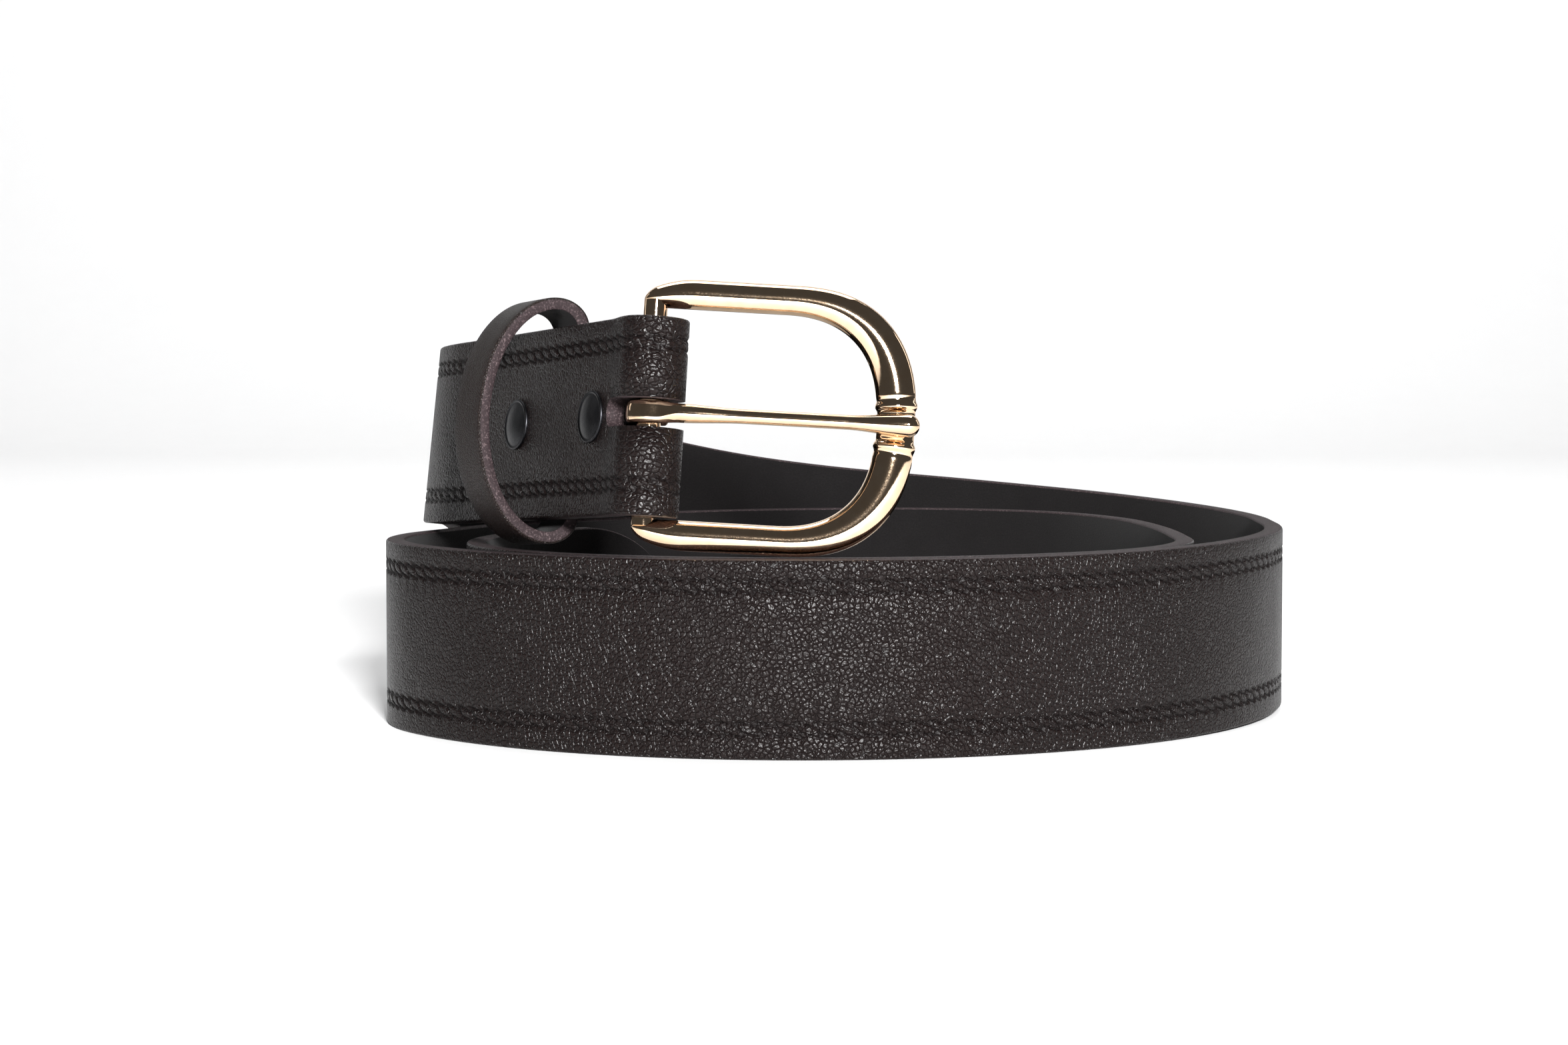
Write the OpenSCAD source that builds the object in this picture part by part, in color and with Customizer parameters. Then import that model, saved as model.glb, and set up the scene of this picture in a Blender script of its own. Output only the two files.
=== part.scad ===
// Leather belt, coiled on a table with its buckle end lying on the outer turn.
// The coil stands on its lower edge at z = 0. The front of the coil faces -Y.
// The strap is followed from its folded end, round the buckle's bar, to its tip.

/* [Strap] */
// Width of the strap
strap_w = 38; // [37.6:0.1:38.2]
// Thickness of the leather
strap_t = 4; // [3.8:0.05:4.1]
// Thickness of the layer that is folded back behind the buckle
fold_t = 3; // [2.6:0.1:3.2]
// Length of the folded layer, from the bar
fold_len = 62; // [58:1:66]
// Number of punched holes near the tip
hole_count = 7; // [5:2:7]
// Diameter of a punched hole
hole_d = 4.8; // [4.2:0.1:5]
// Distance between punched holes
hole_pitch = 25; // [24:0.5:25]

/* [Buckle] */
// Outer height of the frame, along the bar
frame_h = 52; // [51.6:0.1:52.2]
// Distance from the bar's axis to the frame's outer edge
frame_l = 50.9; // [50:0.1:51.4]
// Thickness of the frame's arms
arm_w = 5.8; // [5.6:0.1:5.9]
// Width of the frame's limb, which the prong rests on
limb_w = 7.7; // [7:0.1:8]
// Depth of the frame's section, front to back
frame_d = 5.2; // [4.8:0.1:5.4]
// Diameter of the bar
bar_d = 4.6; // [4.4:0.1:4.6]
// Diameter of the prong's shaft at its thinnest
prong_d = 2.8; // [2.4:0.1:3]
// Diameter of the prong's rounded tip
prong_tip_d = 4.4; // [4:0.1:4.6]

/* [Keeper] */
// Width of the keeper loop along the strap
keeper_w = 11.8; // [10:0.1:12]
// Thickness of the keeper's leather
keeper_t = 2.4; // [2:0.1:2.4]
// Outer height of the keeper loop
keeper_h = 49; // [47:0.5:49]
// How far the loop stands out from the bar's axis
keeper_out = 21.7; // [18:0.1:23]

/* [Snaps] */
// Diameter of the snap's cap
cap_d = 10.3; // [9:0.1:10.4]
// Distance from the bar to the front snap
snap_1_u = 13.8; // [13.6:0.1:14.2]
// Distance from the bar to the rear snap
snap_2_u = 48.2; // [48:0.1:50]

/* [Hidden] */

leather = [0.19, 0.15, 0.15];
gold = [0.87, 0.68, 0.50];
gunmetal = [0.16, 0.17, 0.18];
steel = [0.62, 0.62, 0.64];

// The buckle end: where the bar's middle is, and how the strap leaves it.
bar_xy = [-38.3, -88];
bar_z = 64.95;
end_heading = 119;
end_slope = -0.07;
end_lean = 6;

// Layers at the buckle end, as distances from the bar's axis.
layer_gap = 3.2;
main_v = layer_gap / 2 + strap_t / 2;
back_v = -layer_gap / 2 - fold_t / 2;
fold_r = 2.7 + strap_t / 2;
bend_u = 8.4;
slot_w = 5.6;
slot_u = 4.4;
slot_lift = 0.4;

// The coil in plan, from u = bend_u: [length, 0] is a straight stretch and
// [radius, angle] a right-hand turn.
turns = [[71.1, 0],
         [58, 29], [150, 12], [64, 62], [205, 16],
         [76, 90], [11.6, 0],
         [103, 90],
         [90, 58], [50, 57], [44, 0], [92, 65],
         [50, 62], [94, 20], [320, 8], [13.8, 0], [54, 54.7],
         [98.5, 35.3], [85.5, 28], [50, 62],
         [58, 55], [15, 0]];
// Rise of the strap's lower edge: [distance along the plan, rise, slope, lean].
rises = [[0, 46.2, end_slope, end_lean], [65, 41.65, end_slope, end_lean],
         [112, 38.9, -0.04, end_lean], [135, 36.6, -0.19, 5], [170, 26.8, -0.28, 4],
         [228, 12.6, -0.17, 1], [285, 6.4, -0.085, 0], [320, 3.9, -0.065, 0],
         [365, 1.7, -0.03, 0], [430, 0.8, -0.01, 0], [520, 0, 0, 0]];
ring_step = 6;
tip_len = 22;
first_hole = 95;

// Local frame of the strap: along it, out of its grain side, and up its width.
function along(h, slope) = let (c = 1 / sqrt(1 + slope * slope)) [c * cos(h), c * sin(h), c * slope];
function aside(h) = [-sin(h), cos(h), 0];
function upward(h, slope, lean) = cos(lean) * cross(along(h, slope), aside(h)) - sin(lean) * aside(h);
function outward(h, slope, lean) = cross(upward(h, slope, lean), along(h, slope));

bar_pos = [bar_xy.x, bar_xy.y, bar_z];
end_u = along(end_heading, end_slope);
end_v = outward(end_heading, end_slope, end_lean);
end_w = upward(end_heading, end_slope, end_lean);

// Rise, slope and lean at a distance along the plan: cubic pieces between the knots.
function knot(s, i = 0) = i + 2 >= len(rises) || s < rises[i + 1][0] ? i : knot(s, i + 1);
function ease(t) = t * t * (3 - 2 * t);
function cubic(t, a, da, b, db) =
    a + t * da + t * t * (3 * (b - a) - 2 * da - db) + t * t * t * (2 * (a - b) + da + db);
function cubic_slope(t, a, da, b, db) =
    da + 2 * t * (3 * (b - a) - 2 * da - db) + 3 * t * t * (2 * (a - b) + da + db);
function rise_at(s) =
    s >= rises[len(rises) - 1][0] ? [0, 0, 0] :
    let (k = knot(s), p = rises[k], q = rises[k + 1], d = q[0] - p[0], t = (s - p[0]) / d)
    [cubic(t, p[1], p[2] * d, q[1], q[2] * d),
     cubic_slope(t, p[1], p[2] * d, q[1], q[2] * d) / d,
     p[3] + (q[3] - p[3]) * ease(t)];

// Each turn is cut into short steps of [plan length, turn], all added up from the start.
function turn_length(turn) = turn[1] == 0 ? turn[0] : turn[0] * turn[1] * PI / 180;
steps = [for (turn = turns)
            let (n = ceil(turn_length(turn) / ring_step))
            for (i = [1:n]) [turn_length(turn) / n, turn[1] / n]];
// A step of a turn goes along its chord.
function chord(step) =
    step[1] == 0 ? step[0] : step[0] * 2 * sin(step[1] / 2) / (step[1] * PI / 180);
function walk(p, step) =
    let (h = p[2] - step[1] / 2, c = chord(step))
    [p[0] + c * cos(h), p[1] + c * sin(h), p[2] - step[1], p[3] + step[0]];
start_s = bend_u / norm([1, end_slope]);
// The strap hangs a little below the bar's middle, in line with the rise of the coil.
level_pos = bar_pos + bend_u * end_u + main_v * end_v;
strap_drop = (level_pos.z - rise_at(start_s)[0]) / end_w.z - strap_w / 2;
start_xy = level_pos - strap_drop * end_w;
// Plan points: [x, y, heading, distance along the plan].
plan = [for (i = 0, p = [start_xy.x, start_xy.y, end_heading, start_s];
             i <= len(steps);
             p = i < len(steps) ? walk(p, steps[i]) : p, i = i + 1) p];
coil_len = plan[len(plan) - 1][3];

// Half width of the strap: full until the tip, which is a blunt point.
function half_w(s) =
    let (d = coil_len - s)
    d > tip_len ? strap_w / 2 : strap_w / 2 * sqrt(max(0.04, 1 - pow(1 - d / tip_len, 2)));

// One ring: [centre, out of the grain side, up the width, half width, half thickness].
function coil_ring(p) =
    let (r = rise_at(p[3]), up = upward(p[2], r[1], r[2]))
    [[p[0], p[1], r[0] + strap_w / 2 * up.z], outward(p[2], r[1], r[2]), up,
     half_w(p[3]), strap_t / 2];
function end_ring(u, v, a, t) =
    [bar_pos + u * end_u + v * end_v - strap_drop * end_w, cos(a) * end_v + sin(a) * end_u, end_w, strap_w / 2, t / 2];

fold_turn_steps = 16;
bend_steps = 5;
fold_rings = [
    // The folded layer, then its bend up to the bar.
    for (u = [fold_len : -8 : bend_u + 2]) end_ring(u, back_v, 180, fold_t),
    for (i = [0:bend_steps - 1])
        let (k = ease(i / bend_steps))
        end_ring(bend_u * (1 - i / bend_steps), back_v * (1 - k) - fold_r * k, 180,
                 fold_t * (1 - k) + strap_t * k),
    // Half a turn round the bar.
    for (i = [0:fold_turn_steps])
        let (a = 180 - 180 * i / fold_turn_steps)
        end_ring(-fold_r * sin(a), fold_r * cos(a), -a, strap_t),
    // The bend down to the outer layer.
    for (i = [1:bend_steps - 1])
        let (k = ease(i / bend_steps))
        end_ring(bend_u * i / bend_steps, fold_r * (1 - k) + main_v * k, 0, strap_t)];
strap_rings = concat(fold_rings, [for (p = plan) coil_ring(p)]);

// A closed tube through rings of corner points.
module sweep(rings) {
    n = len(rings[0]);
    m = len(rings);
    sides = [for (i = [0:m - 2]) for (j = [0:n - 1])
                let (a = i * n + j, b = i * n + (j + 1) % n)
                each [[a, b, b + n], [a, b + n, a + n]]];
    caps = [[for (j = [n - 1:-1:0]) j], [for (j = [0:n - 1]) (m - 1) * n + j]];
    polyhedron(points = [for (ring = rings) each ring], faces = concat(sides, caps));
}

function strap_corners(r) = [
    r[0] + r[1] * r[4] - r[2] * r[3],
    r[0] - r[1] * r[4] - r[2] * r[3],
    r[0] - r[1] * r[4] + r[2] * r[3],
    r[0] + r[1] * r[4] + r[2] * r[3]];

// Stands what is drawn along [u, v, w] at the buckle end.
module at_end() {
    multmatrix([[end_u.x, end_v.x, end_w.x, bar_pos.x],
                [end_u.y, end_v.y, end_w.y, bar_pos.y],
                [end_u.z, end_v.z, end_w.z, bar_pos.z]]) children();
}

// The plan point nearest to a distance from the tip.
function plan_at(d, i = 0) = plan[i + 1][3] > coil_len - d ? i : plan_at(d, i + 1);
module at_hole(d) {
    i = plan_at(d);
    t = (coil_len - d - plan[i][3]) / (plan[i + 1][3] - plan[i][3]);
    p = plan[i] + t * (plan[i + 1] - plan[i]);
    translate([p[0], p[1], strap_w / 2]) rotate([0, 0, p[2]]) rotate([90, 0, 0]) children();
}

// The leather, with the prong's slot, the snap holes and the punched holes.
module strap() color(leather) difference() {
    sweep([for (r = strap_rings) strap_corners(r)]);
    at_end() {
        translate([slot_u, 0, slot_lift]) {
            rotate([90, 0, 0]) cylinder(r = slot_w / 2, h = 20, center = true, $fn = 48);
            translate([-15, -10, -slot_w / 2]) cube([15, 20, slot_w]);
        }
        for (u = [snap_1_u, snap_2_u]) translate([u, 0, 0]) {
            rotate([-90, 0, 0]) cylinder(r = cap_hole_r, h = 10, $fn = 32);
            rotate([90, 0, 0]) cylinder(r = post_hole_r, h = 10, $fn = 32);
        }
    }
    for (i = [0:hole_count - 1]) at_hole(first_hole + i * hole_pitch)
        cylinder(r = hole_d / 2, h = strap_t + 1.4, center = true, $fn = 32);
}

// The buckle lies in the frame's own axes: x from the bar to the limb, z up the bar,
// and -y out of its front.
frame_turn = -119;
frame_lift = 0.65;
module at_buckle() at_end() translate([0, 0, frame_lift]) rotate([0, 0, frame_turn]) children();

frame_steps = 64;
frame_power = 2.5;
arm_x = 25;
// The arms reach past the bar to a rounded heel, and slim down on their way to it.
heel = 2.2;
slim_len = 8;
slim_by = 0.9;
function slim(x) = x < slim_len ? slim_by * pow(1 - x / slim_len, 2) : 0;
function heel_round(x) = x < 0.6 ? sqrt(1 - pow((0.6 - x) / (heel + 1.1), 2)) : 1;
// Middle line of the frame from the bar's top end, along the top arm, round the limb
// and back along the lower arm, as [x, z] at t from 0 to 1.
arm_share = 0.22;
function limb_point(a) =
    [arm_x + (limb_x - arm_x) * pow(abs(cos(a)), 2 / frame_power),
     (frame_h - arm_w) / 2 * sign(sin(a)) * pow(abs(sin(a)), 2 / frame_power)];
function arm_point(t) =
    let (x = (arm_x + heel) * pow(t, 1.3) - heel)
    [x, (frame_h - arm_w) / 2 - slim(x)];
function frame_point(t) =
    t < arm_share ? arm_point(t / arm_share) :
    t > 1 - arm_share ? let (p = arm_point((1 - t) / arm_share)) [p.x, -p.y] :
    limb_point(90 - 180 * (t - arm_share) / (1 - 2 * arm_share));
function frame_along(t) =
    let (d = frame_point(min(1, t + 0.002)) - frame_point(max(0, t - 0.002))) d / norm(d);
// The section is widest on the limb, tapers to the bar, and has the prong's seat.
seat_ridge = 3.9;
seat_depth = 0.35;
limb_x = frame_l - limb_w / 2;
function frame_half_w(x) =
    x < arm_x ? arm_w / 2 - slim(x) :
    arm_w / 2 + (limb_w - arm_w) / 2 * ease((x - arm_x) / (limb_x - arm_x));
function seat(p) =
    p.x < arm_x ? 0 :
    abs(p.y) < seat_ridge - 0.8 ? -seat_depth :
    abs(p.y) < seat_ridge + 0.8 ? seat_depth : 0;
function frame_ring(t) =
    let (p = frame_point(t), d = frame_along(t), s = seat(p),
         a = (frame_half_w(p.x) + s * 0.4) * heel_round(p.x),
         b = (frame_d / 2 - slim(p.x) / 3 + s) * heel_round(p.x))
    [for (i = [0:15])
        let (g = i * 22.5, q = a * cos(g))
        [p.x - d.y * q, b * sin(g), p.y + d.x * q]];

module buckle_frame() color(gold) at_buckle() {
    sweep([for (i = [0:frame_steps]) frame_ring(i / frame_steps)]);
    bar_h = frame_h - arm_w - 3;
    translate([0, 0, -bar_h / 2]) cylinder(d = bar_d, h = bar_h, $fn = 48);
}

// The prong: a loop that runs on the bar, a tapered shaft, and a rounded tip.
loop_r = 4.6;
loop_w = 4.4;
loop_clear = 0.05;
prong_end = frame_l + 0.6;
prong_rest = frame_d / 2 - seat_depth + prong_tip_d / 2 + 0.08;
prong_lift = 3.3;
tip_steps = 10;
bulb_len = 14;
root_r = prong_d / 2 + 0.4;
root_len = 7;
// Radius of the shaft at a distance from its end.
function bulb_r(d) =
    let (tip_r = prong_tip_d / 2, shaft_r = prong_d / 2)
    d < tip_r ? sqrt(max(0, d * (prong_tip_d - d))) :
    d < bulb_len ? shaft_r + (tip_r - shaft_r) * ease((bulb_len - d) / (bulb_len - tip_r)) :
    shaft_r;
module prong() color(gold) at_buckle() difference() {
    union() {
        translate([0, 0, -loop_w / 2]) cylinder(r = loop_r, h = loop_w, $fn = 64);
        slant = atan2(prong_rest - prong_lift, prong_end - bulb_len / 2);
        translate([0, -prong_lift, 0]) rotate([0, 0, -slant]) rotate([0, 90, 0])
            rotate_extrude($fn = 48) polygon([
                [0, 0],
                [root_r, 0],
                [root_r, root_len],
                [prong_d / 2, 2 * root_len],
                for (i = [0:tip_steps])
                    let (d = bulb_len * pow(1 - i / tip_steps, 2)) [bulb_r(d), prong_end - d]]);
    }
    cylinder(r = bar_d / 2 + loop_clear, h = 20, center = true, $fn = 64);
}

// The keeper's section in [v, w]: a flat back between the layers and a bulging front.
keeper_v = 1.1 - keeper_t;
keeper_back = keeper_h / 2 - 5.6;
keeper_side_v = 5.5;
keeper_u = snap_2_u - 17;
keeper_shift = 0.1;
function keeper_curve(inset) = [
    for (a = [-90:6:90])
        [keeper_side_v + (keeper_out - keeper_side_v - inset) * cos(a), (keeper_h / 2 - inset) * sin(a)],
    for (a = [15:15:90])
        [keeper_side_v - (keeper_side_v - keeper_v - inset) * sin(a),
         keeper_back - inset / 2 + (keeper_h / 2 - keeper_back - inset / 2) * cos(a)],
    for (a = [90:-15:15])
        [keeper_side_v - (keeper_side_v - keeper_v - inset) * sin(a),
         -keeper_back + inset / 2 - (keeper_h / 2 - keeper_back - inset / 2) * cos(a)]];
module keeper_loop() color(leather) at_end() difference() {
    translate([keeper_u, 0, keeper_shift]) rotate([90, 0, 90]) linear_extrude(height = keeper_w)
        difference() {
            polygon(keeper_curve(0));
            polygon(keeper_curve(keeper_t));
        }
    staple_body(0.02);
}

// The staple that closes the loop, let into the back of the keeper.
staple_w = 7;
staple_d = 0.6;
module staple_body(grow) translate([keeper_u + keeper_w / 2, keeper_v, keeper_shift]) {
    translate([-staple_w / 2 - grow, -0.5, -staple_d / 2 - grow])
        cube([staple_w + 2 * grow, staple_d + 0.5 + grow, staple_d + 2 * grow]);
    for (side = [-1, 1])
        translate([side * (staple_w - staple_d) / 2 - staple_d / 2 - grow, -0.5, -staple_d / 2 - grow])
            cube([staple_d + 2 * grow, keeper_t + 1, staple_d + 2 * grow]);
}
module keeper_staple() color(steel) at_end() intersection() {
    staple_body(0);
    translate([keeper_u, keeper_v, -keeper_back]) cube([keeper_w, keeper_t, 2 * keeper_back]);
}

// Snap parts turn round an axis along v. Their profiles are [radius, v].
cap_hole_r = 1.8;
post_hole_r = 1.5;
grain_v = layer_gap / 2 + strap_t;
flesh_v = layer_gap / 2;
back_out_v = -layer_gap / 2 - fold_t;
cap_rise = 1.1;
cap_rim = 0.45;
dome_steps = 8;
module turned(u, profile) at_end() translate([u, 0, 0]) rotate([-90, 0, 0])
    rotate_extrude($fn = 64) polygon(profile);

module snap_cap(u) color(gunmetal) turned(u, [
    [0, flesh_v - 0.7],
    [cap_hole_r - 0.05, flesh_v - 0.7],
    [cap_hole_r - 0.05, grain_v],
    [cap_d / 2, grain_v],
    for (i = [0:dome_steps])
        let (r = cap_d / 2 * cos(90 * i / dome_steps))
        [i == dome_steps ? 0 : r, grain_v + cap_rim + (cap_rise - cap_rim) * sin(90 * i / dome_steps)]]);

socket_r = 4.4;
socket_h = 2.5;
cavity_r = 2.35;
module snap_socket(u) color(gunmetal) turned(u, [
    [cap_hole_r, flesh_v],
    [socket_r - 0.4, flesh_v],
    [socket_r, flesh_v - 0.4],
    [socket_r, flesh_v - socket_h + 0.4],
    [socket_r - 0.4, flesh_v - socket_h],
    [cavity_r, flesh_v - socket_h],
    [cavity_r, flesh_v - 0.55],
    [cap_hole_r, flesh_v - 0.55]]);

stud_r = 4.2;
stud_bore = 1.45;
module snap_stud(u) color(gunmetal) turned(u, [
    [stud_bore, -flesh_v],
    [stud_r, -flesh_v],
    [stud_r, -flesh_v + 0.45],
    [1.85, -flesh_v + 0.45],
    [1.85, -flesh_v + 0.9],
    [2.15, -flesh_v + 1.3],
    [2.05, -flesh_v + 1.9],
    [1.6, -flesh_v + 2.2],
    [0, -flesh_v + 2.2],
    [0, -flesh_v + 1.6],
    [stud_bore, -flesh_v + 1.6]]);

post_r = 4.3;
module snap_post(u) color(gunmetal) turned(u, [
    [0, back_out_v - 0.55],
    [post_r - 0.3, back_out_v - 0.55],
    [post_r, back_out_v - 0.3],
    [post_r, back_out_v],
    [stud_bore - 0.03, back_out_v],
    [stud_bore - 0.03, -flesh_v + 1.4],
    [0, -flesh_v + 1.4]]);

module snap_cap_1() snap_cap(snap_1_u);
module snap_socket_1() snap_socket(snap_1_u);
module snap_stud_1() snap_stud(snap_1_u);
module snap_post_1() snap_post(snap_1_u);
module snap_cap_2() snap_cap(snap_2_u);
module snap_socket_2() snap_socket(snap_2_u);
module snap_stud_2() snap_stud(snap_2_u);
module snap_post_2() snap_post(snap_2_u);

strap();
buckle_frame();
prong();
keeper_loop();
keeper_staple();
snap_cap_1();
snap_socket_1();
snap_stud_1();
snap_post_1();
snap_cap_2();
snap_socket_2();
snap_stud_2();
snap_post_2();
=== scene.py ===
"""Leather belt: the looks of a coiled dress belt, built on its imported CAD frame."""

import logging
import math
from dataclasses import dataclass, field
from enum import Enum
from typing import Callable, Optional, Sequence

import bpy
import numpy as np
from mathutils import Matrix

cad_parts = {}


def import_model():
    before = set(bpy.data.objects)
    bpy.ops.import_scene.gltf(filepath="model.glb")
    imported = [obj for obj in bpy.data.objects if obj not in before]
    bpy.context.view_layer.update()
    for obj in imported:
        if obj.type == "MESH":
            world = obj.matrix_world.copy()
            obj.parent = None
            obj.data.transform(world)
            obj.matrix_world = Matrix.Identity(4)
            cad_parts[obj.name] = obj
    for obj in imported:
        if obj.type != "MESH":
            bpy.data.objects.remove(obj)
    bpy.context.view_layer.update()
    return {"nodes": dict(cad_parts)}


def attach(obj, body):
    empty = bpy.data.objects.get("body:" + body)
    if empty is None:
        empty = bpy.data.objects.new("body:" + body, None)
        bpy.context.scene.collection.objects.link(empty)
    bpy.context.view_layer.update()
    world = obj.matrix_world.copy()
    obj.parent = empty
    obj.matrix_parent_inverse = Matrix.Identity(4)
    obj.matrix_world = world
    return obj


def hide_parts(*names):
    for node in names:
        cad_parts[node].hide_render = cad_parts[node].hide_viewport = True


LOG = logging.getLogger("belt")
MM = 0.001
MM3_PER_M3 = 1e9
GRAIN, FLESH, EDGE = 0, 1, 2
Array = np.ndarray
Colour = tuple[float, float, float]


class Body(str, Enum):
    """Rigid bodies of the belt."""

    STRAP = "strap_assembly"
    BUCKLE = "buckle"
    PRONG = "prong"
    KEEPER = "keeper"


class Slot(str, Enum):
    """Material slots of the record."""

    STRAP = "leather_strap"
    KEEPER = "leather_keeper"
    GOLD = "polished_gold"
    GUNMETAL = "gunmetal"
    WIRE = "staple_wire"


# --------------------------------------------------------------------------- maths


def ease(t: Array | float) -> Array | float:
    """Smooth step from 0 to 1: three t squared minus two t cubed.

    Args:
        t: Where on the step, cut off to 0..1.

    Returns:
        The eased value.
    """
    t = np.clip(t, 0.0, 1.0)
    return t * t * (3.0 - 2.0 * t)


def ramp(x: Array, low: float, high: float) -> Array:
    """Eases from 0 at low to 1 at high.

    Args:
        x: Values.
        low: Where the ramp starts.
        high: Where the ramp ends.

    Returns:
        Values from 0 to 1.
    """
    return ease((x - low) / (high - low))


def unit(v: Array) -> Array:
    """Vectors scaled to length one along the last axis.

    Args:
        v: Vectors.

    Returns:
        Unit vectors.
    """
    return v / np.linalg.norm(v, axis=-1, keepdims=True)


# --------------------------------------------------------------------------- meshes


@dataclass
class Surface:
    """A mesh being put together from grids of points, in millimetres.

    Attributes:
        points: Blocks of vertices.
        quads: Blocks of four-cornered faces.
        uvs: One UV per vertex, in metres along the piece's own surface.
        marks: One mask value per vertex, such as how deep it lies in a groove.
        slots: Material index of each quad block.
        fans: Extra faces with many corners, as (corner list, material index).
        count: Vertices so far.
    """

    points: list[Array] = field(default_factory=list)
    quads: list[Array] = field(default_factory=list)
    uvs: list[Array] = field(default_factory=list)
    marks: list[Array] = field(default_factory=list)
    slots: list[Array] = field(default_factory=list)
    fans: list[tuple[list[int], int]] = field(default_factory=list)
    count: int = 0

    def tube(self, rings: Array, uv: Optional[Array] = None, mark: Optional[Array] = None,
             slot: Optional[Array] = None, closed: bool = False, cap_slot: int = 0) -> None:
        """Adds a tube through rings of points, with its ends closed.

        Args:
            rings: Points by (ring, place round the ring, xyz).
            uv: UVs by (ring, place, 2).
            mark: Mask by (ring, place).
            slot: Material index for each place round the ring.
            closed: Whether the last ring joins the first.
            cap_slot: Material index of the end caps.
        """
        m, n, _ = rings.shape
        rows = m if closed else m - 1
        i = np.arange(rows)[:, None]
        j = np.arange(n)[None, :]
        k = (j + 1) % n
        a = i * n + j
        b = i * n + k
        nxt = (i + 1) % m
        face = np.stack([a, b, nxt * n + k, nxt * n + j], -1).reshape(-1, 4)
        self.quads.append(face + self.count)
        self.points.append(rings.reshape(-1, 3))
        self.uvs.append(np.zeros((m * n, 2)) if uv is None else uv.reshape(-1, 2))
        self.marks.append(np.zeros(m * n) if mark is None else mark.reshape(-1))
        one = np.zeros(n, int) if slot is None else slot
        self.slots.append(np.broadcast_to(one[None, :], (rows, n)).reshape(-1))
        if not closed:
            first = self.count
            last = self.count + (m - 1) * n
            self.fans.append((list(range(first + n - 1, first - 1, -1)), cap_slot))
            self.fans.append((list(range(last, last + n)), cap_slot))
        self.count += m * n

    def build(self, name: str, materials: Sequence[bpy.types.Material],
              sharp: float = 40.0) -> bpy.types.Object:
        """Makes the object, smooth except where faces meet at a sharp angle.

        Args:
            name: Name of the object.
            materials: Its materials, in the order of the indices.
            sharp: Angle in degrees above which an edge stays sharp.

        Returns:
            The linked object.
        """
        pts = np.concatenate(self.points) * MM
        quads = np.concatenate(self.quads)
        fans = [np.array(f[0]) for f in self.fans]
        mesh = bpy.data.meshes.new(name)
        mesh.vertices.add(len(pts))
        mesh.vertices.foreach_set("co", pts.astype(np.float32).ravel())
        loops = np.concatenate([quads.ravel(), *fans]) if fans else quads.ravel()
        sizes = np.concatenate([np.full(len(quads), 4), [len(f) for f in fans]]).astype(int)
        starts = np.concatenate([[0], np.cumsum(sizes)[:-1]]).astype(int)
        mesh.loops.add(len(loops))
        mesh.loops.foreach_set("vertex_index", loops.astype(np.int32))
        mesh.polygons.add(len(sizes))
        mesh.polygons.foreach_set("loop_start", starts.astype(np.int32))
        index = np.concatenate([*self.slots, [f[1] for f in self.fans]]).astype(np.int32)
        for mat in materials:
            mesh.materials.append(mat)
        mesh.polygons.foreach_set("material_index", index)
        mesh.update(calc_edges=True)
        uv = mesh.uv_layers.new(name="surface")
        uv.data.foreach_set("uv", np.concatenate(self.uvs)[loops].astype(np.float32).ravel())
        mark = mesh.attributes.new("groove", "FLOAT", "POINT")
        mark.data.foreach_set("value", np.concatenate(self.marks).astype(np.float32))
        mesh.polygons.foreach_set("use_smooth", np.ones(len(sizes), bool))
        mesh.validate(clean_customdata=False)
        mesh.set_sharp_from_angle(angle=math.radians(sharp))
        obj = bpy.data.objects.new(name, mesh)
        bpy.context.scene.collection.objects.link(obj)
        LOG.info("%s: %d vertices, %d faces", name, len(pts), len(sizes))
        return obj


def cut(obj: bpy.types.Object, cutters: Sequence[bpy.types.Object]) -> None:
    """Cuts solids out of an object and makes the result its own mesh.

    Args:
        obj: The object to cut.
        cutters: Closed solids, removed afterwards.
    """
    for tool in cutters:
        mod = obj.modifiers.new("cut", "BOOLEAN")
        mod.operation = "DIFFERENCE"
        mod.solver = "EXACT"
        mod.object = tool
        mod.material_mode = "TRANSFER"
    bpy.context.view_layer.update()
    graph = bpy.context.evaluated_depsgraph_get()
    mesh = bpy.data.meshes.new_from_object(obj.evaluated_get(graph), depsgraph=graph,
                                           preserve_all_data_layers=True)
    obj.modifiers.clear()
    obj.data = mesh
    for tool in cutters:
        bpy.data.objects.remove(tool, do_unlink=True)
    LOG.info("%s: cut, %d faces", obj.name, len(mesh.polygons))


def turn_profile(profile: Array, segments: int, place: Callable[[Array], Array]) -> Array:
    """Rings of a profile of (radius, height) turned round an axis.

    Args:
        profile: Points by (radius, height).
        segments: Places round the axis.
        place: Sends (across, height, across) points to their place.

    Returns:
        Points by (profile point, place, xyz).
    """
    a = np.linspace(0.0, 2.0 * np.pi, segments, endpoint=False)
    r = profile[:, 0][:, None]
    h = np.broadcast_to(profile[:, 1][:, None], (len(profile), segments))
    return place(np.stack([r * np.cos(a), h, -r * np.sin(a)], -1))


# --------------------------------------------------------------------------- finishes


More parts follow.
